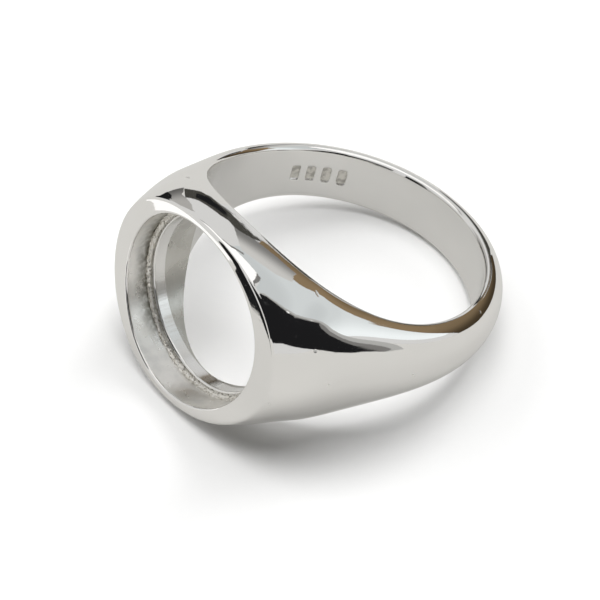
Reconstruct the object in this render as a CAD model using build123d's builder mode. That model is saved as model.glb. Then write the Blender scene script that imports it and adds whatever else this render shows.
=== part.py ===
"""Cast silver signet ring with a round stone bezel, lying on its side as it rests on a table.

The ring is drawn about its own finger axis: local Z runs along the finger, local -Y points
through the head, and an angle of 0 degrees is the middle of the head, 180 the back of the band.
"""
from build123d import *
from math import atan2, cos, degrees, exp, hypot, log, radians, sin, sqrt
import os

# Band: a rounded strip that widens and thickens towards the head.
finger_radius = 9.0
back_half_width = 1.9
head_half_width = 6.2
width_spread = 59.0
back_thickness = 1.5
thickness_spread = 45.0
thickness_power = 3.0
back_squareness = 2.4
squareness_spread = 8.0
inner_edge_round = 0.3
inner_overlap = 1.0

# Head: a gently domed face with a nearly round outline, its sides flaring up from the finger.
face_height = 12.15
face_dome_radius = 42.0
face_half_length = 7.6
face_half_width = 6.6
side_flare = 0.2
flare_spread = 49.0
rim_round = 0.3

# Bezel: a round pocket for a 12 mm stone, with a seat ring soldered across its floor.
pocket_radius = 6.0
pocket_depth = 2.15
rim_bevel = 0.15
seat_thickness = 0.85
seat_recess_radius = 5.8
seat_inner_radius = 5.5
seat_edge_bevel = 0.12
seat_gap = 0.02
through_radius = 5.6
solder_width = 0.25
solder_height = 0.2
solder_bevel = 0.18
cut_length = 25.0

# Inside of the band: a row of four plain punch marks.
mark_count = 4
mark_pitch = 6.5
mark_start_angle = 228.0
mark_length = 1.15
mark_width = 0.62
mark_corner = 0.15
mark_depth = 0.08

# Sections of the loft, in degrees round the ring and round each profile, closer over the head.
section_step = 10
head_step = 5
head_sections_end = 60
back_angle = 180
profile_turns = (5, 15, 30, 45, 60, 75, 90)


def bell(angle, spread, power=2.0):
    """A smooth hump: 1 at the middle of the head, 0 at the back of the band."""
    return exp(-((abs(angle) / spread) ** power))


def face_reach(angle):
    """Distance from the finger axis to the domed face, in the half plane at this angle."""
    dome = sin(radians(angle)) ** 2 / (2 * face_dome_radius)
    straight = cos(radians(angle))
    return 2 * face_height / (straight + sqrt(straight**2 + 4 * dome * face_height))


end_drop = face_half_length**2 / (2 * face_dome_radius)
end_reach = hypot(face_half_length, face_height - end_drop)
end_angle = degrees(atan2(face_half_length, face_height - end_drop))
crest_rise = (end_reach - finger_radius - back_thickness) / bell(
    end_angle, thickness_spread, thickness_power
)


def half_width(angle):
    return back_half_width + (head_half_width - back_half_width) * bell(angle, width_spread)


def thickness(angle):
    return back_thickness + crest_rise * bell(angle, thickness_spread, thickness_power)


def head_squareness(angle):
    """The power at which the side of the head meets the face on its oval outline."""
    depth = face_reach(angle) - finger_radius
    along = face_reach(angle) * sin(radians(abs(angle))) / face_half_length
    outline = face_half_width * sqrt(1 - along**2)
    side = half_width(angle) + side_flare * bell(angle, flare_spread) * depth
    return log(1 - (outline / side) ** 2) / log(depth / thickness(angle))


head_limit = end_angle - 0.1
head_end_excess = head_squareness(head_limit) - back_squareness
head_end_slope = head_squareness(head_limit) - head_squareness(head_limit - 1)


def squareness(angle):
    """The head's power, carried on smoothly past its end and back to the band's own."""
    if abs(angle) < head_limit:
        return head_squareness(angle)
    past = abs(angle) - head_limit
    return back_squareness + (head_end_excess + head_end_slope * past) * bell(past, squareness_spread)


def side_point(angle, turn):
    """A point (radius, height) on the outer profile; turn runs from 0 at the side to 90 at the crest."""
    depth = thickness(angle) * sin(radians(turn)) ** (2 / squareness(angle))
    side = half_width(angle) + side_flare * bell(angle, flare_spread) * depth
    return finger_radius + depth, side * cos(radians(turn))


def side_outline():
    """Points (along the head axis, along the finger) on the lower side, clear of rounded edges."""
    for angle in range(0, 181, 2):
        for turn in range(0, 91, 3):
            radius, height = side_point(angle, turn)
            reach = face_reach(angle) - rim_round if angle < end_angle else radius
            if finger_radius + inner_edge_round < radius <= reach:
                yield -radius * cos(radians(angle)), -height


def level(point, lean):
    """Height of a point of the outline when the finger axis leans back from upright."""
    return point[1] * cos(lean) - point[0] * sin(lean)


# The ring lies on the head's lower edge and the back of the band, which sets the finger axis' lean.
outline = list(side_outline())
tilt = 0.0
for _ in range(8):
    head_rest = min((p for p in outline if p[0] < 0), key=lambda p: level(p, tilt))
    back_rest = min((p for p in outline if p[0] > 0), key=lambda p: level(p, tilt))
    tilt = atan2(back_rest[1] - head_rest[1], back_rest[0] - head_rest[0])
front = -face_height * cos(tilt) - (face_half_width - rim_round) * sin(tilt)
rear = max(y * cos(tilt) - z * sin(tilt) for y, z in outline)
ring_frame = Plane(
    origin=(0, -(front + rear) / 2, -level(head_rest, tilt)),
    x_dir=(1, 0, 0),
    z_dir=(0, sin(tilt), cos(tilt)),
)


def placed(origin, x_dir, z_dir):
    """A plane given in the ring's own frame."""
    return Plane(ring_frame.location * Plane(origin=origin, x_dir=x_dir, z_dir=z_dir).location)


def half_plane(angle):
    """The plane at this angle round the ring: its X is the radius, its Y runs along the finger."""
    turned = radians(angle)
    outward = (sin(turned), -cos(turned), 0)
    return placed((0, 0, 0), outward, (-cos(turned), -sin(turned), 0))


def head_plane(height):
    """A plane square to the head's axis, facing out of the head, at this height above the finger axis."""
    return placed((0, -height, 0), (1, 0, 0), (0, -1, 0))


def inside_plane(angle):
    """The plane touching the finger hole's wall at this angle, facing out through the metal."""
    turned = radians(angle)
    outward = (sin(turned), -cos(turned), 0)
    return placed((finger_radius * outward[0], finger_radius * outward[1], 0), (0, 0, 1), outward)


middle_plane = placed((0, 0, 0), (0, -1, 0), (1, 0, 0))
below_ring = placed((0, 0, -cut_length / 2), (1, 0, 0), (0, 0, 1))
seat_top = face_height - pocket_depth
seat_floor = seat_top - seat_thickness

# The casting: half of the band lofted through its sections, rounded at its edges and mirrored.
angles = list(range(-section_step, head_sections_end, head_step))
angles += list(range(head_sections_end, back_angle + 2 * section_step, section_step))
with BuildPart() as ring_body:
    for angle in angles:
        inner_width = half_width(angle) - side_flare * bell(angle, flare_spread) * inner_overlap
        upper = [(finger_radius - inner_overlap, inner_width)]
        upper += [side_point(angle, turn) for turn in profile_turns]
        lower = [(radius, -height) for radius, height in reversed(upper[:-1])]
        with BuildSketch(half_plane(angle)):
            with BuildLine():
                side = Spline(*upper, *lower)
                Line(side @ 1, side @ 0)
            make_face()
    loft()
    with BuildSketch(below_ring):
        with Locations((0, face_dome_radius - face_height)):
            Circle(face_dome_radius)
    extrude(amount=cut_length, mode=Mode.INTERSECT)
    with BuildSketch(below_ring):
        Circle(finger_radius)
    extrude(amount=cut_length, mode=Mode.SUBTRACT)
    split(bisect_by=middle_plane, keep=Keep.TOP)
    domed_face = ring_body.faces().filter_by(GeomType.CYLINDER).sort_by(SortBy.AREA)[0]
    fillet(domed_face.edges().filter_by(GeomType.BSPLINE), rim_round)
    finger_wall = ring_body.faces().filter_by(GeomType.CYLINDER).sort_by(SortBy.AREA)[-1]
    fillet(finger_wall.edges().filter_by(GeomType.BSPLINE), inner_edge_round)

    # The stone pocket, with a recess for the seat ring below it and a narrower hole to the finger.
    with BuildSketch(head_plane(seat_top)):
        Circle(pocket_radius)
    extrude(amount=pocket_depth, mode=Mode.SUBTRACT)
    domed_face = ring_body.faces().filter_by(GeomType.CYLINDER).sort_by(SortBy.AREA)[0]
    pocket_mouth = domed_face.edges().filter_by(GeomType.BSPLINE).sort_by(SortBy.LENGTH)[0]
    chamfer(pocket_mouth, rim_bevel)
    with BuildSketch(head_plane(seat_floor)):
        Circle(seat_recess_radius)
    extrude(amount=seat_thickness, mode=Mode.SUBTRACT)
    with BuildSketch(head_plane(0)):
        Circle(through_radius)
    extrude(amount=face_height, mode=Mode.SUBTRACT)
    mirror(about=middle_plane)

    for number in range(mark_count):
        with BuildSketch(inside_plane(mark_start_angle + number * mark_pitch)):
            RectangleRounded(mark_length, mark_width, mark_corner)
        extrude(amount=mark_depth, both=True, mode=Mode.SUBTRACT)

# The seat ring: a flat ring lying in its recess, bevelled along its upper inner edge.
with BuildPart() as seat_ring:
    with BuildSketch(head_plane(seat_floor)):
        Circle(seat_recess_radius - seat_gap)
        Circle(seat_inner_radius, mode=Mode.SUBTRACT)
    extrude(amount=seat_thickness)
    upper_face = seat_ring.faces().sort_by(Axis(ring_frame.origin, head_plane(0).z_dir))[-1]
    chamfer(upper_face.edges().sort_by(SortBy.LENGTH)[0], seat_edge_bevel)

# The solder: a thin bead round the foot of the pocket wall, over the joint with the seat ring.
with BuildPart() as seat_solder:
    with BuildSketch(head_plane(seat_top)):
        Circle(pocket_radius)
        Circle(pocket_radius - solder_width, mode=Mode.SUBTRACT)
    extrude(amount=solder_height)
    upper_face = seat_solder.faces().sort_by(Axis(ring_frame.origin, head_plane(0).z_dir))[-1]
    chamfer(upper_face.edges().sort_by(SortBy.LENGTH)[0], solder_bevel)

ring_body.part.label = "ring_body"
seat_ring.part.label = "seat_ring"
seat_solder.part.label = "seat_solder"
os.makedirs("parts", exist_ok=True)
export_step(ring_body.part, "parts/ring_body.step")
export_step(seat_ring.part, "parts/seat_ring.step")
export_step(seat_solder.part, "parts/seat_solder.step")
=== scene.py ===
"""A cast silver signet ring with an empty stone pocket, lying on its side on a white table."""

from math import asin, atan2, cos, degrees, hypot, pi, radians, sin

import bmesh
import bpy
import numpy as np
from mathutils import Matrix, Vector, noise
from mathutils.geometry import tessellate_polygon


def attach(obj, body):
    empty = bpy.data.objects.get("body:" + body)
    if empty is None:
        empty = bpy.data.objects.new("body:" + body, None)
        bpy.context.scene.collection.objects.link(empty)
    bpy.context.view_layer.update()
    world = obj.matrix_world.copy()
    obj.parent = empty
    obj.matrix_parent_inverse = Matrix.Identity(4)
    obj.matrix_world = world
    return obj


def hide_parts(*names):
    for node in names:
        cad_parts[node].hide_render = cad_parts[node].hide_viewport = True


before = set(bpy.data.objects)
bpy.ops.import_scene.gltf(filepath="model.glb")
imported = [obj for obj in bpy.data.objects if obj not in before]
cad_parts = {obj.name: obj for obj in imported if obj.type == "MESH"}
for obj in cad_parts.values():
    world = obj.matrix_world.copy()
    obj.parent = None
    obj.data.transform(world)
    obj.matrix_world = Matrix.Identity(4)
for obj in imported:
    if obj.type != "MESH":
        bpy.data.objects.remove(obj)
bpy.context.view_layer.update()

# ---------------------------------------------------------------------------------------------
# The ring's shape, in millimetres and degrees about its own finger axis. A point is given across
# the head, out towards the head and along the finger. An angle of 0 is the middle of the head and
# 180 the back of the band. The dimensions are those of the CAD part.
# ---------------------------------------------------------------------------------------------
FINGER_RADIUS = 9.0
BACK_HALF_WIDTH = 1.9
HEAD_HALF_WIDTH = 6.2
WIDTH_SPREAD = 59.0
BACK_THICKNESS = 1.5
THICKNESS_SPREAD = 45.0
THICKNESS_POWER = 3.0
BACK_SQUARENESS = 2.4
SQUARENESS_SPREAD = 8.0
INNER_EDGE_ROUND = 0.3
FACE_HEIGHT = 12.15
FACE_DOME_RADIUS = 42.0
FACE_HALF_LENGTH = 7.6
FACE_HALF_WIDTH = 6.6
SIDE_FLARE = 0.2
FLARE_SPREAD = 49.0
RIM_ROUND = 0.3
POCKET_RADIUS = 6.0
POCKET_DEPTH = 2.15
RIM_BEVEL = 0.15
SEAT_THICKNESS = 0.85
SEAT_RECESS_RADIUS = 5.8
SEAT_INNER_RADIUS = 5.5
THROUGH_RADIUS = 5.6
SOLDER_WIDTH = 0.25
SOLDER_HEIGHT = 0.2
SEAT_TOP = FACE_HEIGHT - POCKET_DEPTH
SEAT_FLOOR = SEAT_TOP - SEAT_THICKNESS

# The row of plain punch marks: shallow dents with rounded corners in the finger hole's wall. Their
# sides slope over MARK_SLOPE, and what is deeper than MARK_FLOOR of the full depth is their floor.
MARK_COUNT = 4
MARK_PITCH = 6.5
MARK_START_ANGLE = 228.0
MARK_LENGTH = 1.15
MARK_WIDTH = 0.62
MARK_CORNER = 0.15
MARK_DEPTH = 0.08
MARK_SLOPE = 0.06
MARK_FLOOR = 0.4

# How the ring lies: its finger axis leans back from upright, and this is the axis' middle point.
LEAN = radians(13.112602)
AXIS_MIDDLE = Vector((0, 1.481418, 3.944107))

# How fine the mesh is. A quarter of the ring is built and then mirrored twice. Its curves are drawn
# with many samples first, and then spaced out evenly with fewer points.
RIM_POINTS = 73
RIM_ROUND_POINTS = 7
SIDE_SAMPLES = 500
SIDE_POINTS = 41
WALL_SAMPLES = 300
WALL_POINTS = 19
INNER_ROUND_SAMPLES = 200
INNER_ROUND_POINTS = 11

# Where its columns of points lie, in degrees round the band. They are closer beside the tip of the
# hole under the pocket, and where the punch marks fall on this quarter.
TIP_POINTS = 10
BESIDE_TIP_POINTS = 16
BESIDE_TIP = 8
BAND_STEP = 0.75
MARKED_START = 109
MARKED_END = 136
MARKED_STEP = 0.25
BACK_POINTS = 61


def bell(angle, spread, power=2.0):
    return np.exp(-((np.abs(angle) / spread) ** power))


def face_reach(angle):
    dome = np.sin(np.radians(angle)) ** 2 / (2 * FACE_DOME_RADIUS)
    straight = np.cos(np.radians(angle))
    return 2 * FACE_HEIGHT / (straight + np.sqrt(straight**2 + 4 * dome * FACE_HEIGHT))


END_DROP = FACE_HALF_LENGTH**2 / (2 * FACE_DOME_RADIUS)
END_REACH = hypot(FACE_HALF_LENGTH, FACE_HEIGHT - END_DROP)
END_ANGLE = degrees(atan2(FACE_HALF_LENGTH, FACE_HEIGHT - END_DROP))
CREST_RISE = (END_REACH - FINGER_RADIUS - BACK_THICKNESS) / bell(
    END_ANGLE, THICKNESS_SPREAD, THICKNESS_POWER
)


def half_width(angle):
    return BACK_HALF_WIDTH + (HEAD_HALF_WIDTH - BACK_HALF_WIDTH) * bell(angle, WIDTH_SPREAD)


def thickness(angle):
    return BACK_THICKNESS + CREST_RISE * bell(angle, THICKNESS_SPREAD, THICKNESS_POWER)


def head_squareness(angle):
    depth = face_reach(angle) - FINGER_RADIUS
    along = face_reach(angle) * np.sin(np.radians(np.abs(angle))) / FACE_HALF_LENGTH
    outline = FACE_HALF_WIDTH * np.sqrt(np.maximum(1 - along**2, 0))
    side = half_width(angle) + SIDE_FLARE * bell(angle, FLARE_SPREAD) * depth
    return np.log(1 - (outline / side) ** 2) / np.log(depth / thickness(angle))


HEAD_LIMIT = END_ANGLE - 0.1
HEAD_END_EXCESS = head_squareness(np.float64(HEAD_LIMIT)) - BACK_SQUARENESS
HEAD_END_SLOPE = head_squareness(np.float64(HEAD_LIMIT)) - head_squareness(np.float64(HEAD_LIMIT - 1))


def squareness(angle):
    inside = head_squareness(np.minimum(angle, HEAD_LIMIT))
    past = np.maximum(angle - HEAD_LIMIT, 0)
    fade = bell(past, SQUARENESS_SPREAD)
    outside = BACK_SQUARENESS + (HEAD_END_EXCESS + HEAD_END_SLOPE * past) * fade
    return np.where(angle < HEAD_LIMIT, inside, outside)


def side_point(angle, turn):
    """Points (radius, height) on the outer profile; turn runs from 0 at the side to 90 at the crest."""
    depth = thickness(angle) * np.sin(np.radians(turn)) ** (2 / squareness(angle))
    side = half_width(angle) + SIDE_FLARE * bell(angle, FLARE_SPREAD) * depth
    return FINGER_RADIUS + depth, side * np.cos(np.radians(turn))


def in_ring(angle, radius, height):
    """Ring coordinates (across, towards the head, along the finger) of points in half planes."""
    turned = np.radians(angle)
    return np.stack([radius * np.sin(turned), radius * np.cos(turned), height], axis=-1)


def side_surface(angle, turn):
    radius, height = side_point(angle, turn)
    return in_ring(angle, radius, height)


def dome_height(across):
    return FACE_HEIGHT - across**2 / (2 * FACE_DOME_RADIUS)


def unit(vectors):
    return vectors / np.linalg.norm(vectors, axis=-1, keepdims=True)


def side_normal(angle, turn):
    step = 0.01
    by_angle = side_surface(angle + step, turn) - side_surface(angle - step, turn)
    turn = np.minimum(turn, 90 - 2 * step)
    by_turn = side_surface(angle, turn + step) - side_surface(angle, turn - step)
    return unit(np.cross(by_angle, by_turn))


def side_place(points):
    """(angle, turn) of the outer profile's point nearest to points, along a line from its middle."""
    angle = np.degrees(np.arctan2(points[..., 0], points[..., 1]))
    depth = np.hypot(points[..., 0], points[..., 1]) - FINGER_RADIUS
    side = half_width(angle) + SIDE_FLARE * bell(angle, FLARE_SPREAD) * depth
    rise = (depth / thickness(angle)) ** (squareness(angle) / 2)
    return angle, np.degrees(np.arctan2(rise, points[..., 2] / side))


def resample(path, fractions):
    """Points along each path (last axes: samples, coordinates) at fractions of its length."""
    steps = np.linalg.norm(np.diff(path, axis=1), axis=-1)
    length = np.concatenate([np.zeros((len(path), 1)), np.cumsum(steps, axis=1)], axis=1)
    out = np.empty((len(path), fractions.shape[-1], path.shape[-1]))
    for row, (line, run) in enumerate(zip(path, length)):
        share = fractions[row] if fractions.ndim == 2 else fractions
        for axis in range(path.shape[-1]):
            out[row, :, axis] = np.interp(share * run[-1], run, line[:, axis])
    return out


# The rim: where the domed face meets the side, rounded off.
outline_turn = np.linspace(0, 90, RIM_POINTS)
outline = np.stack(
    [
        FACE_HALF_LENGTH * np.sin(np.radians(outline_turn)),
        dome_height(FACE_HALF_LENGTH * np.sin(np.radians(outline_turn))),
        FACE_HALF_WIDTH * np.cos(np.radians(outline_turn)),
    ],
    axis=-1,
)
outline_run = unit(
    np.stack(
        [
            FACE_HALF_LENGTH * np.cos(np.radians(outline_turn)),
            -outline[:, 0] / FACE_DOME_RADIUS * FACE_HALF_LENGTH * np.cos(np.radians(outline_turn)),
            -FACE_HALF_WIDTH * np.sin(np.radians(outline_turn)),
        ],
        axis=-1,
    )
)
face_normal = unit(
    np.stack(
        [outline[:, 0] / FACE_DOME_RADIUS, np.ones(RIM_POINTS), np.zeros(RIM_POINTS)],
        axis=-1,
    )
)
edge_angle, edge_turn = side_place(outline)
edge_normal = side_normal(edge_angle, edge_turn)
setback = RIM_ROUND * np.tan(np.arccos(np.sum(edge_normal * face_normal, axis=-1)) / 2)[:, None]
rim_angle, rim_turn = side_place(outline + setback * unit(np.cross(outline_run, edge_normal)))
rim_foot = side_surface(rim_angle, rim_turn)
rim_normal = side_normal(rim_angle, rim_turn)
rim_top = outline + setback * unit(np.cross(face_normal, outline_run))
rim_top[:, 1] = dome_height(rim_top[:, 0])


def strip(start, end, count):
    """Straight lines of points, that many on each, from one row of points to another."""
    share = np.linspace(0, 1, count)[None, :, None]
    return start[:, None, :] * (1 - share) + end[:, None, :] * share


# The rim's rounding: an arc from the side's normal to the face's.
sweep = np.linspace(0, 1, RIM_ROUND_POINTS)[None, :, None]
corner = np.arccos(np.clip(np.sum(rim_normal * face_normal, axis=-1), -1, 1))[:, None, None]
arc_normal = (
    np.sin((1 - sweep) * corner) * rim_normal[:, None, :]
    + np.sin(sweep * corner) * face_normal[:, None, :]
) / np.sin(corner)
arc_middle = (rim_foot - RIM_ROUND * rim_normal)[:, None, :] * (1 - sweep)
arc_middle = arc_middle + (rim_top - RIM_ROUND * face_normal)[:, None, :] * sweep
rim_patch = arc_middle + RIM_ROUND * arc_normal

# Columns round the band: even over the head, close together at the tip of the hole under the
# pocket and across the punch marks, and even again to the back.
hole_angle = degrees(asin(THROUGH_RADIUS / FINGER_RADIUS))
head_end = rim_angle[-1]
tip_turn = np.linspace(asin(head_end / hole_angle), pi / 2, TIP_POINTS)
column_angle = np.concatenate(
    [
        head_end * outline_turn / 90,
        hole_angle * np.sin(tip_turn[1:]),
        hole_angle + np.geomspace(0.12, BESIDE_TIP, BESIDE_TIP_POINTS),
        np.arange(hole_angle + BESIDE_TIP + BAND_STEP, MARKED_START, BAND_STEP),
        np.arange(MARKED_START, MARKED_END, MARKED_STEP),
        np.linspace(MARKED_END, 180, BACK_POINTS),
    ]
)

# The rounded edge of the finger hole, an arc that touches the bore and the side. Halving finds
# the turn at which it leaves the side.
low = np.zeros_like(column_angle)
high = np.full_like(column_angle, 89.9)
for _ in range(50):
    middle = (low + high) / 2
    radius, height = side_point(column_angle, middle)
    ahead = side_point(column_angle, middle + 0.01)
    along_radius, along_height = ahead[0] - radius, ahead[1] - height
    normal_radius = -along_height / np.hypot(along_radius, along_height)
    short = radius - FINGER_RADIUS < INNER_EDGE_ROUND * (1 + normal_radius)
    low = np.where(short, middle, low)
    high = np.where(short, high, middle)
edge_start = (low + high) / 2
normal_height = along_radius / np.hypot(along_radius, along_height)
arc_height = height - INNER_EDGE_ROUND * normal_height
arc_end = np.arctan2(normal_height, -normal_radius)

# The side, from the rounded finger edge up to the rim over the head, and to the crest elsewhere.
rise = np.linspace(0, 1, SIDE_SAMPLES) ** 2
top_angle = column_angle.copy()
top_turn = np.full_like(column_angle, 90.0)
top_angle[:RIM_POINTS] = rim_angle
top_turn[:RIM_POINTS] = rim_turn
share = rise[None, :]
path_angle = column_angle[:, None] + (top_angle - column_angle)[:, None] * share
path_turn = edge_start[:, None] + (top_turn - edge_start)[:, None] * share
side_patch = resample(side_surface(path_angle, path_turn), np.linspace(0, 1, SIDE_POINTS))

# The finger hole's wall and its rounded edge, less the hole through to the pocket.
wall_height = arc_height[:, None] * np.linspace(0, 1, WALL_SAMPLES)[None, :]
arc_turn = arc_end[:, None] * np.linspace(0, 1, INNER_ROUND_SAMPLES)[None, 1:]
path_radius = np.concatenate(
    [
        np.full_like(wall_height, FINGER_RADIUS),
        FINGER_RADIUS + INNER_EDGE_ROUND * (1 - np.cos(arc_turn)),
    ],
    axis=1,
)
path_height = np.concatenate(
    [wall_height, arc_height[:, None] + INNER_EDGE_ROUND * np.sin(arc_turn)], axis=1
)
inner_path = in_ring(column_angle[:, None], path_radius, path_height)
run = np.concatenate(
    [
        np.zeros((len(column_angle), 1)),
        np.cumsum(np.linalg.norm(np.diff(inner_path, axis=1), axis=-1), axis=1),
    ],
    axis=1,
)
from_middle = np.hypot(inner_path[..., 0], inner_path[..., 2])
bore_share = np.array(
    [np.interp(THROUGH_RADIUS, line, along / along[-1]) for line, along in zip(from_middle, run)]
)
bore_share[column_angle >= hole_angle - 1e-9] = 0

# The wall ends where the rounding starts. Beside the hole it takes at least this share of the rest.
least_wall = 0.3
edge_share = arc_height / run[:, -1]
edge_share = np.maximum(edge_share, bore_share + least_wall * (1 - bore_share))
wall_steps = np.linspace(0, 1, WALL_POINTS)
round_steps = np.linspace(0, 1, INNER_ROUND_POINTS)
wall_share = bore_share[:, None] + (edge_share - bore_share)[:, None] * wall_steps
round_share = edge_share[:, None] + (1 - edge_share)[:, None] * round_steps
wall_patch = resample(inner_path, wall_share)
round_patch = resample(inner_path, round_share)
side_patch[:, 0] = round_patch[:, -1]

# The hole from the finger to the seat ring's recess, and the pocket above it.
through_columns = column_angle <= hole_angle + 1e-9
through_foot = wall_patch[through_columns, 0]
through_top = through_foot.copy()
through_top[:, 1] = SEAT_FLOOR
through_patch = strip(through_foot, through_top, 5)


def circle(radius, height=None, lowered=0.0):
    """A quarter circle about the head's axis, at a height or lying on the domed face."""
    across = radius * np.sin(np.radians(outline_turn))
    level = dome_height(across) - lowered if height is None else np.full_like(across, height)
    return np.stack([across, level, radius * np.cos(np.radians(outline_turn))], axis=-1)


face_patch = strip(rim_top, circle(POCKET_RADIUS + RIM_BEVEL), 6)
face_patch[:, :, 1] = dome_height(face_patch[:, :, 0])
bevel_turn = np.radians([0, 25, 45, 65, 90])
bevel_patch = np.stack(
    [
        circle(
            POCKET_RADIUS + RIM_BEVEL * (1 - sin(turn)),
            lowered=RIM_BEVEL * (1 - cos(turn)),
        )
        for turn in bevel_turn
    ],
    axis=1,
)
pocket_foot = circle(POCKET_RADIUS, SEAT_TOP)
recess_top = circle(SEAT_RECESS_RADIUS, SEAT_TOP)
recess_foot = circle(SEAT_RECESS_RADIUS, SEAT_FLOOR)
pocket_patch = strip(bevel_patch[:, -1], pocket_foot, 15)
shelf_patch = strip(pocket_foot, recess_top, 2)
recess_patch = strip(recess_top, recess_foot, 5)
floor_patch = strip(recess_foot, circle(THROUGH_RADIUS, SEAT_FLOOR), 3)

# ---------------------------------------------------------------------------------------------
# Building helpers
# ---------------------------------------------------------------------------------------------
ALONG_FINGER = Vector((0, sin(LEAN), cos(LEAN)))
OUT_OF_HEAD = Vector((0, -cos(LEAN), sin(LEAN)))
ACROSS = Vector((1, 0, 0))


def in_world(points):
    """Ring coordinates in millimetres to the table's frame in metres."""
    basis = np.array([ACROSS, OUT_OF_HEAD, ALONG_FINGER])
    return (np.asarray(points) @ basis + np.array(AXIS_MIDDLE)) / 1000


def patch_faces(patches):
    """Joins grids of points into one list of points and of quads, each with its grid's slot."""
    points, quads, slots = [], [], []
    start = 0
    for grid, slot in patches:
        rows, columns = grid.shape[:2]
        index = start + np.arange(rows * columns).reshape(rows, columns)
        corners = [index[:-1, :-1], index[1:, :-1], index[1:, 1:], index[:-1, 1:]]
        quads.append(np.stack(corners, axis=-1).reshape(-1, 4))
        slots.append(np.full(len(quads[-1]), slot))
        points.append(grid.reshape(-1, 3))
        start += rows * columns
    return np.concatenate(points), np.concatenate(quads), np.concatenate(slots)


def weld(points, quads, slots):
    """Merges points that coincide and drops faces that have shrunk to a line."""
    steps_in_millimetre = 5000
    rounded = np.round(points * steps_in_millimetre).astype(np.int64)
    _, first, back = np.unique(rounded, axis=0, return_index=True, return_inverse=True)
    quads = back.reshape(-1)[quads]
    faces, kept = [], []
    for quad, slot in zip(quads.tolist(), slots.tolist()):
        corners = [c for place, c in enumerate(quad) if c != quad[place - 1]]
        if len(set(corners)) == len(corners) >= 3:
            faces.append(corners)
            kept.append(slot)
    return points[first], faces, kept


def make_piece(name, points, faces, slots, materials, sharp=35):
    mesh = bpy.data.meshes.new(name)
    mesh.from_pydata(in_world(points).tolist(), [], faces)
    for material in materials:
        mesh.materials.append(material)
    mesh.polygons.foreach_set("material_index", slots)
    mesh.polygons.foreach_set("use_smooth", [True] * len(faces))
    form = bmesh.new()
    form.from_mesh(mesh)
    bmesh.ops.recalc_face_normals(form, faces=form.faces)
    form.to_mesh(mesh)
    form.free()
    mesh.set_sharp_from_angle(angle=radians(sharp))
    piece = bpy.data.objects.new(name, mesh)
    bpy.context.collection.objects.link(piece)
    return piece


# ---------------------------------------------------------------------------------------------
# The ring
# ---------------------------------------------------------------------------------------------
POLISHED, CAST, BORE, PUNCHED, HOLE = range(5)
quarter = [
    (rim_patch, POLISHED),
    (side_patch, POLISHED),
    (round_patch, POLISHED),
    (wall_patch, BORE),
    (through_patch, HOLE),
    (face_patch, POLISHED),
    (bevel_patch, POLISHED),
    (pocket_patch, CAST),
    (shelf_patch, CAST),
    (recess_patch, CAST),
    (floor_patch, CAST),
]
points, quads, slots = patch_faces(quarter)
mirrored = [points * np.array([x, 1, z]) for x in (1, -1) for z in (1, -1)]
quads = np.concatenate([quads + number * len(points) for number in range(4)])
points, faces, slots = weld(np.concatenate(mirrored), quads, np.tile(slots, 4))

# The punch marks push the wall's points outwards, and the floors of the dents get their own silver.
place = np.degrees(np.arctan2(points[:, 0], points[:, 1])) % 360
on_wall = np.hypot(points[:, 0], points[:, 1]) < FINGER_RADIUS + 0.01
inside_mark = np.zeros(len(points))
for number in range(MARK_COUNT):
    sideways = np.radians(place - MARK_START_ANGLE - number * MARK_PITCH) * FINGER_RADIUS
    beyond = np.stack(
        [
            np.abs(sideways) - MARK_WIDTH / 2 + MARK_CORNER,
            np.abs(points[:, 2]) - MARK_LENGTH / 2 + MARK_CORNER,
        ],
        axis=-1,
    )
    outside = np.linalg.norm(np.maximum(beyond, 0), axis=-1) + np.minimum(beyond.max(axis=-1), 0)
    depth = np.clip((MARK_CORNER - outside) / MARK_SLOPE, 0, 1)
    inside_mark = np.maximum(inside_mark, depth * depth * (3 - 2 * depth) * on_wall)
points[:, :2] *= (1 + MARK_DEPTH * inside_mark / FINGER_RADIUS)[:, None]
in_floor = [inside_mark[face].min() > MARK_FLOOR for face in faces]
slots = [PUNCHED if dented else slot for dented, slot in zip(in_floor, slots)]


# ---------------------------------------------------------------------------------------------
# Materials, built from nodes over each piece's own coordinates
# ---------------------------------------------------------------------------------------------
def add(material, kind, inputs, **settings):
    """A node with its settings made, and each input given a value or joined to a socket."""
    tree = material.node_tree
    node = tree.nodes.new(kind)
    for name, value in settings.items():
        setattr(node, name, value)
    for socket, value in inputs.items():
        if isinstance(value, bpy.types.NodeSocket):
            tree.links.new(value, node.inputs[socket])
        else:
            node.inputs[socket].default_value = value
    return node


def coordinates(material):
    return add(material, "ShaderNodeTexCoord", {}).outputs["Object"]


def calculated(material, operation, first, second=0.0):
    return add(material, "ShaderNodeMath", {0: first, 1: second}, operation=operation).outputs[0]


def dot(material, place, axis):
    inputs = {0: place, 1: axis}
    return add(material, "ShaderNodeVectorMath", inputs, operation="DOT_PRODUCT").outputs["Value"]


def stretched(material, turn, stretch):
    """Coordinates turned and then drawn out along their first axis, for hairlines."""
    inputs = {"Vector": coordinates(material), "Rotation": turn, "Scale": (1 / stretch, 1, 1)}
    return add(material, "ShaderNodeMapping", inputs).outputs[0]


def wrapped(material, middle, axis, start, radius, stretch):
    """Coordinates laid round a cylinder and drawn out round it: (round, along its axis, 0)."""
    inputs = {0: coordinates(material), 1: middle}
    place = add(material, "ShaderNodeVectorMath", inputs, operation="SUBTRACT").outputs[0]
    sideways = dot(material, place, start)
    upwards = dot(material, place, axis.cross(start))
    angle = calculated(material, "ARCTAN2", upwards, sideways)
    around = calculated(material, "MULTIPLY", angle, radius / 1000 / stretch)
    inputs = {"X": around, "Y": dot(material, place, axis)}
    return add(material, "ShaderNodeCombineXYZ", inputs).outputs[0]


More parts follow.
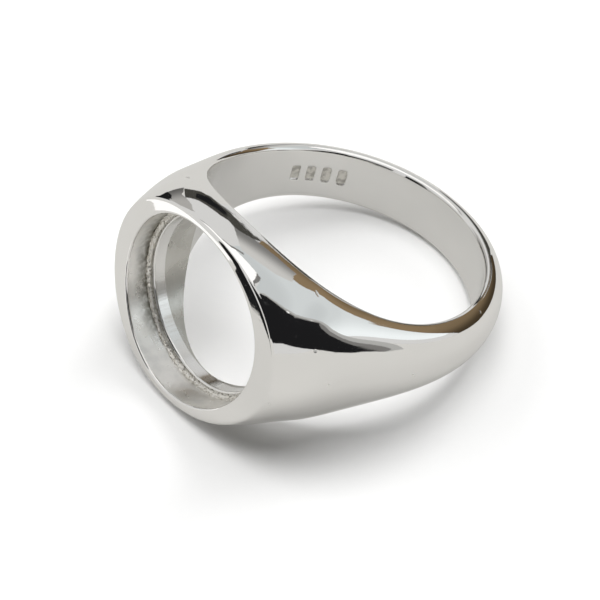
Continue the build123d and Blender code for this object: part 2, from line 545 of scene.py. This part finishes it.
def grain(material, place, size, detail=3.0, roughness=0.5):
    """Noise from 0 to 1 with features about that many millimetres across."""
    inputs = {"Vector": place, "Scale": 1000 / size, "Detail": detail, "Roughness": roughness}
    return add(material, "ShaderNodeTexNoise", inputs).outputs["Fac"]


def spots(material, place, spacing, reach):
    """Sparse round spots, 1 in the middle and 0 beyond reach (a share of their spacing)."""
    inputs = {"Vector": place, "Scale": 1000 / spacing}
    distance = add(material, "ShaderNodeTexVoronoi", inputs).outputs["Distance"]
    return ramp(material, distance, reach, reach / 2, 0, 1)


def ramp(material, value, start, end, low, high):
    """The value taken smoothly from start..end to low..high, and held beyond them."""
    inputs = {"Value": value, "From Min": start, "From Max": end, "To Min": low, "To Max": high}
    node = add(material, "ShaderNodeMapRange", inputs, interpolation_type="SMOOTHSTEP")
    return node.outputs["Result"]


def blend(material, share, color, other):
    """A colour, or a socket that carries one, taken by that share towards another colour."""
    first = color if isinstance(color, bpy.types.NodeSocket) else (*color, 1)
    inputs = {0: share, 6: first, 7: (*other, 1)}
    return add(material, "ShaderNodeMix", inputs, data_type="RGBA").outputs[2]


def bump(material, height, depth, normal=None):
    """A bump of that many millimetres between the height's 0 and 1, over an earlier bump."""
    inputs = {"Height": height, "Distance": depth / 1000, "Strength": 1.0}
    if normal:
        inputs["Normal"] = normal
    return add(material, "ShaderNodeBump", inputs).outputs[0]


def metal(name, build):
    """A bare metal whose colour, roughness and normal come from build(material)."""
    material = bpy.data.materials.new(name)
    material.use_nodes = True
    shader = material.node_tree.nodes["Principled BSDF"]
    shader.inputs["Metallic"].default_value = 1
    for socket, value in zip(("Base Color", "Roughness", "Normal"), build(material)):
        material.node_tree.links.new(value, shader.inputs[socket])
    return material


def polished_silver(material):
    """A mirror polish, slightly wavy from the wheel, with hairlines and a few small nicks."""
    place = coordinates(material)
    waves = grain(material, place, 2.6, detail=1)
    hairlines = grain(material, stretched(material, (0.5, 0.3, 0.9), 14), 0.07)
    nicks = spots(material, stretched(material, (0.1, 0.2, 0.4), 5), 1.3, 0.09)
    color = blend(material, grain(material, place, 3.5), (0.95, 0.94, 0.92), (0.91, 0.9, 0.875))
    smooth = ramp(material, hairlines, 0.45, 0.75, 0.025, 0.075)
    rough_nicks = calculated(material, "MULTIPLY", nicks, 0.35)
    roughness = calculated(material, "MAXIMUM", smooth, rough_nicks)
    normal = bump(material, waves, 0.005)
    normal = bump(material, hairlines, 0.0003, normal)
    return color, roughness, bump(material, nicks, -0.01, normal)


def cast_silver(material):
    """The pocket's wall: cast, then cut round and scratched. Painted shade darkens its foot, most at
    -X.
    """
    head_foot = (AXIS_MIDDLE + OUT_OF_HEAD * SEAT_TOP) / 1000
    round_wall = wrapped(material, head_foot, OUT_OF_HEAD, ACROSS, POCKET_RADIUS, 16)
    cutter = grain(material, round_wall, 0.14, detail=4)
    place = coordinates(material)
    patches = grain(material, place, 1.3, detail=4, roughness=0.6)
    pores = grain(material, place, 0.09, detail=2)
    scratches = grain(material, stretched(material, (0.4, 1.1, 0.7), 9), 0.06, detail=1)
    dull = ramp(material, patches, 0.42, 0.7, 0, 1)
    bare = blend(material, dull, (0.97, 0.955, 0.92), (0.87, 0.865, 0.845))
    split = add(material, "ShaderNodeSeparateXYZ", {0: round_wall}).outputs
    # Painted shade: the wall's foot, in the corner above the seat ring, is darkened, most on the -X
    # side and in broken patches.
    low = ramp(material, split["Y"], 0.0001, 0.0014, 1, 0)
    shaded_side = ramp(material, dot(material, place, ACROSS), -0.0046, -0.0025, 1, 0.12)
    broken = ramp(material, grain(material, place, 0.35, detail=4), 0.3, 0.6, 0.45, 1)
    patchy_shade = calculated(material, "MULTIPLY", shaded_side, broken)
    tarnish_and_shade = calculated(material, "MULTIPLY", low, patchy_shade)
    color = blend(material, tarnish_and_shade, bare, (0.2, 0.19, 0.155))
    roughness = ramp(material, patches, 0.35, 0.7, 0.27, 0.4)
    normal = bump(material, patches, 0.006)
    normal = bump(material, cutter, 0.008, normal)
    normal = bump(material, scratches, 0.0015, normal)
    return color, roughness, bump(material, pores, 0.006, normal)


def satin_bore(material):
    """The finger hole's wall and the seat ring's sides: satin from a brush run round the hole."""
    middle = AXIS_MIDDLE / 1000
    round_hole = wrapped(material, middle, ALONG_FINGER, OUT_OF_HEAD, FINGER_RADIUS, 22)
    brushed = grain(material, round_hole, 0.1, detail=4)
    clouds = grain(material, coordinates(material), 3.0, detail=2)
    color = blend(material, clouds, (0.91, 0.9, 0.88), (0.83, 0.825, 0.805))
    roughness = ramp(material, brushed, 0.35, 0.7, 0.14, 0.26)
    normal = bump(material, clouds, 0.02)
    return color, roughness, bump(material, brushed, 0.0035, normal)


def punched_silver(material):
    """The floor of a punch mark: dull and tarnished in patches."""
    place = coordinates(material)
    tarnish_and_shade = grain(material, place, 0.3)
    dark = ramp(material, tarnish_and_shade, 0.35, 0.65, 0, 1)
    color = blend(material, dark, (0.74, 0.72, 0.67), (0.5, 0.485, 0.45))
    roughness = ramp(material, tarnish_and_shade, 0.3, 0.7, 0.3, 0.5)
    return color, roughness, bump(material, grain(material, place, 0.08), 0.01)


def hole_silver(material):
    """The wall of the hole under the seat ring: left dull by the casting, and darkened with painted
    shade.
    """
    place = coordinates(material)
    clouds = grain(material, place, 1.4)
    # Painted shade: both colours are far darker than the bore's, for the shade inside the hole.
    color = blend(material, clouds, (0.7, 0.69, 0.65), (0.46, 0.45, 0.415))
    roughness = ramp(material, clouds, 0.35, 0.7, 0.2, 0.34)
    return color, roughness, bump(material, grain(material, place, 0.12), 0.006)


def granular_silver(material):
    """The seat ring's upper face: left rough by the heat, with dark pits."""
    place = coordinates(material)
    pits = ramp(material, grain(material, place, 0.13, detail=4), 0.5, 0.62, 0, 1)
    color = blend(material, pits, (0.85, 0.83, 0.79), (0.36, 0.34, 0.29))
    roughness = ramp(material, pits, 0, 1, 0.28, 0.55)
    return color, roughness, bump(material, grain(material, place, 0.1, detail=4), 0.05)


def silver_solder(material):
    """The bead of solder: grey, grainy and full of small pits."""
    place = coordinates(material)
    grains = grain(material, place, 0.16, detail=4, roughness=0.6)
    pits = ramp(material, grains, 0.53, 0.66, 0, 1)
    color = blend(material, pits, (0.95, 0.925, 0.87), (0.42, 0.39, 0.33))
    roughness = ramp(material, pits, 0, 1, 0.28, 0.55)
    return color, roughness, bump(material, grains, 0.03)


polished = metal("polished_silver", polished_silver)
cast = metal("cast_silver", cast_silver)
bore = metal("satin_bore", satin_bore)
punched = metal("punched_silver", punched_silver)
hole = metal("hole_silver", hole_silver)
granular = metal("granular_silver", granular_silver)
solder = metal("silver_solder", silver_solder)

body = make_piece("ring_casting", points, faces, slots, [polished, cast, bore, punched, hole])
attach(body, "root")
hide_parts("ring_body")

# ---------------------------------------------------------------------------------------------
# The seat ring and its solder, both turned about the head's axis
# ---------------------------------------------------------------------------------------------
def turned(name, radius, height, slots, materials):
    """A closed ring: a row of (radius, height) points at each step round the head's axis."""
    rows, columns = radius.shape
    turn = np.linspace(0, 2 * pi, rows, endpoint=False)[:, None]
    points = np.stack([radius * np.sin(turn), height, radius * np.cos(turn)], axis=-1)
    index = np.arange(rows * columns).reshape(rows, columns)
    across = np.roll(index, -1, axis=1)
    ahead = np.roll(index, -1, axis=0)
    quads = np.stack([index, across, np.roll(across, -1, axis=0), ahead], axis=-1)
    numbers = np.tile(slots, rows).tolist()
    return make_piece(name, points.reshape(-1, 3), quads.reshape(-1, 4).tolist(), numbers, materials)


def lumps(rows, columns, size, seed):
    """Smooth noise from -1 to 1 over a ring's points, about that many millimetres across."""
    values = np.empty((rows, columns))
    for row in range(rows):
        turn = 2 * pi * row / rows
        for column in range(columns):
            place = Vector((POCKET_RADIUS * sin(turn), POCKET_RADIUS * cos(turn), column * size / 2))
            values[row, column] = noise.noise(place / size + Vector((seed, seed, seed)))
    return values


# The seat ring's section: its inner wall, its rounded upper edge, its grainy top and its outside.
SEAT_EDGE_ROUND = 0.12
SEAT_GAP = 0.02
SEAT_STEPS = 900
SEAT_WALL_POINTS = 8
SEAT_ROUND_POINTS = 7
SEAT_TOP_POINTS = 6
SEAT_GRAIN_SIZE = 0.16
SEAT_GRAIN_DEPTH = 0.012
SEAT_POLISHED, SEAT_GRANULAR, SEAT_SATIN = range(3)
arc = np.linspace(0, pi / 2, SEAT_ROUND_POINTS)
seat_outer = SEAT_RECESS_RADIUS - SEAT_GAP
edge_middle = SEAT_INNER_RADIUS + SEAT_EDGE_ROUND
inner_wall = np.linspace(SEAT_FLOOR, SEAT_TOP - SEAT_EDGE_ROUND, SEAT_WALL_POINTS + 1)[:-1]
top = np.linspace(edge_middle, seat_outer, SEAT_TOP_POINTS + 1)[1:]
seat_radius = np.concatenate(
    [
        np.full(SEAT_WALL_POINTS, SEAT_INNER_RADIUS),
        edge_middle - SEAT_EDGE_ROUND * np.cos(arc),
        top,
        [seat_outer],
    ]
)
seat_height = np.concatenate(
    [
        inner_wall,
        SEAT_TOP - SEAT_EDGE_ROUND * (1 - np.sin(arc)),
        np.full(SEAT_TOP_POINTS, SEAT_TOP),
        [SEAT_FLOOR],
    ]
)
seat_slots = [SEAT_SATIN] * SEAT_WALL_POINTS
seat_slots += [SEAT_POLISHED] * (SEAT_ROUND_POINTS - 1)
seat_slots += [SEAT_GRANULAR] * SEAT_TOP_POINTS
seat_slots += [SEAT_SATIN] * 2
seat_rows = np.tile(seat_height, (SEAT_STEPS, 1))
first_grain = SEAT_WALL_POINTS + SEAT_ROUND_POINTS
grains = lumps(SEAT_STEPS, SEAT_TOP_POINTS - 1, SEAT_GRAIN_SIZE, 3)
seat_rows[:, first_grain : first_grain + SEAT_TOP_POINTS - 1] -= SEAT_GRAIN_DEPTH * (1 + grains)
seat = turned(
    "seat_plate",
    np.tile(seat_radius, (SEAT_STEPS, 1)),
    seat_rows,
    seat_slots,
    [polished, granular, bore],
)
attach(seat, "root")
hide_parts("seat_ring")

# The bead's section: a hollow fillet between the seat ring and the pocket's wall, swelling and
# shrinking round its length.
BEAD_STEPS = 1200
BEAD_HOLLOW = 0.8
BEAD_SWELL = 0.4
bead_turn = np.linspace(0, pi / 2, 8)
bead_reach = np.concatenate([SOLDER_WIDTH * (1 - BEAD_HOLLOW * np.sin(bead_turn)), [0, 0]])
bead_rise = np.concatenate([SOLDER_HEIGHT * (1 - np.cos(bead_turn)), [SOLDER_HEIGHT, 0]])
bead_points = len(bead_reach)
broad_lumps = lumps(BEAD_STEPS, bead_points, 0.35, 7)
fine_lumps = lumps(BEAD_STEPS, bead_points, 0.12, 11)
bead_scale = 1 + BEAD_SWELL * (broad_lumps + 0.6 * fine_lumps)
bead = turned(
    "solder_bead",
    POCKET_RADIUS - bead_reach * bead_scale,
    SEAT_TOP + bead_rise * bead_scale,
    [0] * bead_points,
    [solder],
)
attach(bead, "root")
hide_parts("seat_solder")

# ---------------------------------------------------------------------------------------------
# The camera, found by fitting the photo's outlines. Its azimuth runs round the finger axis from the
# middle of the head and its elevation along the axis; lengths are in millimetres.
# ---------------------------------------------------------------------------------------------
CAMERA_AZIMUTH = radians(40.849)
CAMERA_ELEVATION = radians(37.028)
CAMERA_ROLL = radians(16.181)
CAMERA_DISTANCE = 192.425
CAMERA_TO_RIGHT = -2.248
CAMERA_TO_TOP = -2.348
CAMERA_LENS = 187.05
CAMERA_SENSOR = 36

outwards = ACROSS * sin(CAMERA_AZIMUTH) + OUT_OF_HEAD * cos(CAMERA_AZIMUTH)
back = outwards * cos(CAMERA_ELEVATION) + ALONG_FINGER * sin(CAMERA_ELEVATION)
right = ACROSS * cos(CAMERA_AZIMUTH) - OUT_OF_HEAD * sin(CAMERA_AZIMUTH)
up = back.cross(right)
image_right = right * cos(CAMERA_ROLL) + up * sin(CAMERA_ROLL)
image_up = up * cos(CAMERA_ROLL) - right * sin(CAMERA_ROLL)
shift = image_right * CAMERA_TO_RIGHT + image_up * CAMERA_TO_TOP
spot = AXIS_MIDDLE + back * CAMERA_DISTANCE + shift

camera_data = bpy.data.cameras.new("camera")
camera_data.sensor_width = CAMERA_SENSOR
camera_data.lens = CAMERA_LENS
camera_data.clip_start = 0.01
camera = bpy.data.objects.new("camera", camera_data)
bpy.context.collection.objects.link(camera)
facing = Matrix((image_right, image_up, back)).transposed().to_quaternion()
camera.matrix_world = Matrix.LocRotScale(spot / 1000, facing, None)
bpy.context.scene.camera = camera

# ---------------------------------------------------------------------------------------------
# The table, the light and what the polished silver reflects, in metres
# ---------------------------------------------------------------------------------------------
RING_MIDDLE_HEIGHT = 0.006
TABLE_REACH = 2.0
TABLE_LEVEL = -0.00008
MIRRORED_TABLE_LEVEL = -0.00006
ROOM_LIGHT = 0.68

# The cards' distances from the ring's middle. They stand in three layers, and a card that has to
# hide another one of its layer is a little nearer.
CLOSE = 0.036
NEAR = 0.07
FAR = 0.3


def glow(name, color, strength):
    """A card's own light, even all over."""
    material = bpy.data.materials.new(name)
    material.use_nodes = True
    nodes = material.node_tree.nodes
    nodes.remove(nodes["Principled BSDF"])
    inputs = {"Color": (*color, 1), "Strength": strength}
    emission = add(material, "ShaderNodeEmission", inputs)
    material.node_tree.links.new(emission.outputs[0], nodes["Material Output"].inputs[0])
    return material


def graded_glow(name, color, low, high, bottom, top):
    """A card's own light, from low at the bottom height to high at the top one, level beyond."""
    material = glow(name, color, low)
    emission = material.node_tree.nodes["Emission"]
    split = add(material, "ShaderNodeSeparateXYZ", {0: coordinates(material)})
    strength = ramp(material, split.outputs["Z"], bottom, top, low, high)
    material.node_tree.links.new(strength, emission.inputs["Strength"])
    return material


def paper(name, color, own_light=0.0):
    """Matt paper with a faint tooth. Its own light stands in for the room's, which it doesn't get."""
    material = bpy.data.materials.new(name)
    material.use_nodes = True
    shader = material.node_tree.nodes["Principled BSDF"]
    shader.inputs["Roughness"].default_value = 0.9
    shader.inputs["Specular IOR Level"].default_value = 0
    shader.inputs["Emission Color"].default_value = (1, 0.99, 0.965, 1)
    shader.inputs["Emission Strength"].default_value = own_light
    fibres = grain(material, coordinates(material), 0.4)
    fine = blend(material, fibres, color, [channel * 0.985 for channel in color])
    material.node_tree.links.new(fine, shader.inputs["Base Color"])
    return material


def towards(azimuth, elevation, distance):
    """A point that far from the ring's middle. Azimuth 0 is -Y and 90 is +X."""
    level = distance * cos(radians(elevation))
    return (
        level * sin(radians(azimuth)),
        -level * cos(radians(azimuth)),
        distance * sin(radians(elevation)) + RING_MIDDLE_HEIGHT,
    )


def stage_mesh(name, corners, faces, material):
    """A mesh that belongs to the stage and not to the ring."""
    mesh = bpy.data.meshes.new(name)
    mesh.from_pydata(corners, [], faces)
    mesh.materials.append(material)
    item = bpy.data.objects.new(name, mesh)
    bpy.context.collection.objects.link(item)
    return item


def only_reflected(item):
    """Leaves an item to be seen in the polished metal alone."""
    item.visible_camera = False
    item.visible_diffuse = False
    item.visible_shadow = False
    item.visible_transmission = False


def sky_card(name, outline, distance, material):
    """A reflected card bowed round the ring, given by the (azimuth, elevation) of its corners."""
    points_on_side = 8
    rounded = []
    for start, end in zip(outline, outline[1:] + outline[:1]):
        for share in np.linspace(0, 1, points_on_side, endpoint=False):
            rounded.append(Vector((*start, 0)).lerp(Vector((*end, 0)), share))
    corners = [towards(direction.x, direction.y, distance) for direction in rounded]
    only_reflected(stage_mesh(name, corners, tessellate_polygon([rounded]), material))


def standing_card(name, start, end, height, distance, material):
    """A reflected card standing on the table, between two azimuths."""
    feet = [towards(azimuth, 0, distance)[:2] for azimuth in (start, end)]
    corners = [(*feet[0], 0), (*feet[1], 0), (*feet[1], height), (*feet[0], height)]
    only_reflected(stage_mesh(name, corners, [(0, 1, 2, 3)], material))


def flat_sheet(name, left, right, front, back, level, material):
    """A level sheet, from left to right along X and from front to back along Y."""
    corners = [(left, front, level), (right, front, level), (right, back, level), (left, back, level)]
    return stage_mesh(name, corners, [(0, 1, 2, 3)], material)


def table_sheet(name, level, material):
    return flat_sheet(name, -TABLE_REACH, TABLE_REACH, -TABLE_REACH, TABLE_REACH, level, material)


def soft_light(name, azimuth, elevation, angle, strength):
    """Light from a wide, far source, which the metal doesn't mirror."""
    light = bpy.data.lights.new(name, "SUN")
    light.angle = radians(angle)
    light.energy = strength
    lamp = bpy.data.objects.new(name, light)
    lamp.rotation_euler = Vector(towards(azimuth, elevation, 1)).to_track_quat("Z", "Y").to_euler()
    lamp.visible_glossy = False
    bpy.context.collection.objects.link(lamp)


# The camera sees the white paper, lit a little over white. The metal mirrors a greyer sheet just
# above it, because the paper under and in front of the ring was in the photographer's shade.
white_paper = paper("white_paper", (0.9, 0.9, 0.895))
table = table_sheet("table", TABLE_LEVEL, white_paper)
table.visible_glossy = False
grey_paper = paper("grey_paper", (0.38, 0.376, 0.364), own_light=0.2)
only_reflected(table_sheet("table_in_shade", MIRRORED_TABLE_LEVEL, grey_paper))

# The room's even light reaches the metal, and the three soft lights reach the paper.
world = bpy.data.worlds.new("world")
bpy.context.scene.world = world
world.use_nodes = True
background = world.node_tree.nodes["Background"]
background.inputs["Color"].default_value = (1, 1, 1, 1)
background.inputs["Strength"].default_value = ROOM_LIGHT
world.cycles_visibility.diffuse = False

soft_light("overhead", azimuth=225, elevation=80, angle=50, strength=2.4)
soft_light("window_back", azimuth=190, elevation=30, angle=40, strength=1.5)
soft_light("window_left", azimuth=300, elevation=38, angle=40, strength=1.4)

black = glow("black_card", (0.012, 0.012, 0.013), 1)
dark = glow("dark_card", (0.06, 0.058, 0.052), 1)
grey = glow("grey_card", (0.2, 0.195, 0.19), 1)
pale = glow("pale_card", (0.44, 0.44, 0.43), 1)
brown = graded_glow("brown_card", (1, 0.72, 0.42), low=0.055, high=0.26, bottom=0.006, top=0.042)
ceiling = glow("ceiling_card", (1, 1, 1), 1.1)
dim = graded_glow("dim_card", (1, 0.98, 0.95), low=0.13, high=0.42, bottom=0.002, top=0.022)
fading = graded_glow("fading_card", (1, 0.99, 0.97), low=0.2, high=0.6, bottom=0.032, top=0.052)
softbox = graded_glow("softbox_card", (0.93, 0.98, 1), low=1.0, high=0.62, bottom=0.06, top=0.2)

# Close on the ring's right: something black, with a grey and then a paler edge towards the back,
# and two small lamps in front of it.
sky_card(
    "black_side",
    [
        (20, 2), (32, 8), (62, 12.5), (72, 12), (76, 9.5), (80, 5.5), (85, 0.5), (88, -3),
        (91, -6.5), (94, -9.3), (95.5, -8.5), (96.5, -3), (95.8, 3), (95, 8), (94, 12), (93, 17),
        (92.5, 22), (92.5, 28), (94, 32), (95.8, 34.5), (94, 37), (93, 42), (91.5, 47),
        (89, 51.5), (84, 54), (80, 53), (76, 47), (70, 44), (45, 46), (20, 44),
    ],
    CLOSE,
    black,
)
sky_card(
    "grey_side",
    [
        (84, 54), (91, 51.5), (93.5, 46), (95, 40), (97, 35.5), (97, 30), (96, 22), (96.5, 15),
        (97.5, 8), (98.3, 0), (98, -6), (96, -9), (90, -6), (88, 30),
    ],
    CLOSE + 0.0005,
    grey,
)
sky_card(
    "pale_side",
    [
        (84, 55), (92, 54), (96, 47), (98, 41), (100, 36.5), (100, 30), (99, 22), (99.5, 15),
        (100.5, 8), (101.5, 0), (101, -6), (96, -9), (90, -6), (88, 30),
    ],
    CLOSE + 0.001,
    pale,
)
sky_card("lamp_high", [(77, 44.5), (79.5, 44), (81, 47), (78, 47.5)], CLOSE - 0.001, ceiling)
sky_card("lamp_low", [(93.5, 37.3), (95, 37), (95.2, 38.8), (93.7, 39)], CLOSE - 0.001, ceiling)

# Far behind the ring and overhead: a softbox, the bright ceiling and the ceiling's grey edge.
sky_card(
    "softbox",
    [
        (104, 8), (140, 8), (165, 20), (180, 30), (200, 26), (200, 45), (165, 52), (145, 57),
        (112, 59), (104, 30),
    ],
    FAR,
    softbox,
)
sky_card(
    "ceiling",
    [
        (95, 64), (124, 61.5), (138, 59), (150, 57), (163, 53.3), (176, 47), (183, 44),
        (192, 43.7), (198, 45.5), (203, 48), (212, 55), (222, 62.5), (246, 64.5), (262, 58),
        (285, 50), (300, 45), (330, 75), (30, 80),
    ],
    FAR + 0.02,
    ceiling,
)
sky_card(
    "softbox_edge",
    [
        (104, 60.5), (124, 60), (138, 57.7), (150, 55.3), (163, 51.8), (175, 45.8), (182, 42.8),
        (192, 42.3), (198, 43.7), (203, 46), (212, 53), (222, 60.5), (246, 62.5), (262, 56),
        (275, 52), (290, 46), (292, 49.5), (278, 55.5), (263, 60), (247, 66), (221, 64.5),
        (210, 57), (201, 49.5), (197, 47), (191, 45.3), (183, 45.3), (176, 48.6), (163, 54.5),
        (150, 58), (138, 60), (124, 62.3), (104, 62.8),
    ],
    FAR - 0.02,
    grey,
)

# Nearer, behind the ring and round to its left: the brown and dark things low in the room.
sky_card(
    "brown_wall",
    [
        (140, -1), (140, 28.7), (150, 29.8), (160, 31), (168, 34), (172, 35.5), (176, 35),
        (182, 31), (187, 25.5), (196, 22.5), (204, 21.5), (205, 19), (196, 18.5), (189, 18),
        (190, 12), (194, 6), (192, -4.8), (154, -4.8),
    ],
    NEAR,
    brown,
)
sky_card(
    "grey_band",
    [
        (170, 38.5), (176, 35), (182, 31), (187, 25.5), (196, 22), (204, 21), (214, 19.5),
        (210.5, 25.4), (205.8, 33.6), (200.3, 41.5), (196, 46), (185, 46), (172, 44),
    ],
    NEAR + 0.002,
    fading,
)
sky_card(
    "dark_streak",
    [
        (204, 19.3), (207.8, 18.6), (211.7, 17), (216, 14), (220.3, 10), (223, 7), (226, 3.7),
        (228.4, 0.7), (232.4, -1.2), (237.4, -1.6), (240.8, -3), (240.8, 8), (232, 8.6),
        (228.4, 10.3), (224.7, 12.5), (220.8, 15), (217.4, 16.3), (214.2, 19.6), (211, 20.9),
        (206, 21),
    ],
    NEAR,
    dark,
)
sky_card(
    "dark_core",
    [
        (234, 6), (228, 8), (223, 11), (219, 13.6), (221, 10.3), (225, 6), (229, 2), (234, 1.5),
    ],
    NEAR - 0.001,
    black,
)
sky_card(
    "dim_wall",
    [
        (241, -4), (241.5, 1), (243, 4), (240, 9), (237, 16), (238, 28), (255, 38), (275, 36),
        (290, 28), (275, 15), (262, 5), (252.4, -4),
    ],
    NEAR,
    dim,
)
sky_card(
    "dark_far",
    [(193, 8), (190, 17.5), (203, 18), (208, 13), (209, -4.8), (194, -4.8)],
    NEAR,
    dark,
)
sky_card(
    "dark_wedge",
    [
        (251.5, -4.6), (250.5, 3), (254, 10), (262, 12.5), (275, 16), (286, 18), (284, 10),
        (274, 0), (262, -4.6),
    ],
    NEAR - 0.002,
    black,
)

# In front of the head: a lit patch of the table, to the left, and something black that stands up.
lit_paper = flat_sheet("lit_paper", -0.037, -0.011, -0.036, -0.022, 0, ceiling)
only_reflected(lit_paper)
standing_card("black_front", 343.8, 6.5, height=0.04, distance=0.03, material=black)
bpy.context.scene.view_settings.view_transform = "Standard"
